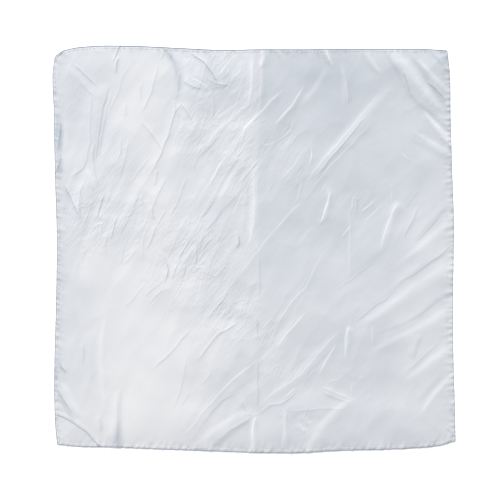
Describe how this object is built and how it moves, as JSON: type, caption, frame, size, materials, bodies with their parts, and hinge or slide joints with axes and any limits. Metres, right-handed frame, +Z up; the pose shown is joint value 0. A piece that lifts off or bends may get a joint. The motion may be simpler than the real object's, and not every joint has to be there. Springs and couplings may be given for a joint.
{
  "type": "square satin scarf",
  "caption": "Square satin scarf laid out flat, with narrow stitched hems, pressed fold lines and soft wrinkles.",
  "frame": {"origin": "on the table, under the middle of the cloth's outline", "axes": "+X towards the cloth's right side as pictured, +Y towards its far side, +Z up from the table"},
  "size_m": [0.6048, 0.6116, 0.0046],
  "materials": {
    "satin": "smooth silver-white polyester satin with a soft sheen",
    "hem": "the same satin, turned and stitched with matching thread"
  },
  "bodies": {
    "root": {"scarf_panel": "satin", "hem_near": "hem", "hem_far": "hem", "hem_left": "hem", "hem_right": "hem"}
  },
  "joints": []
}
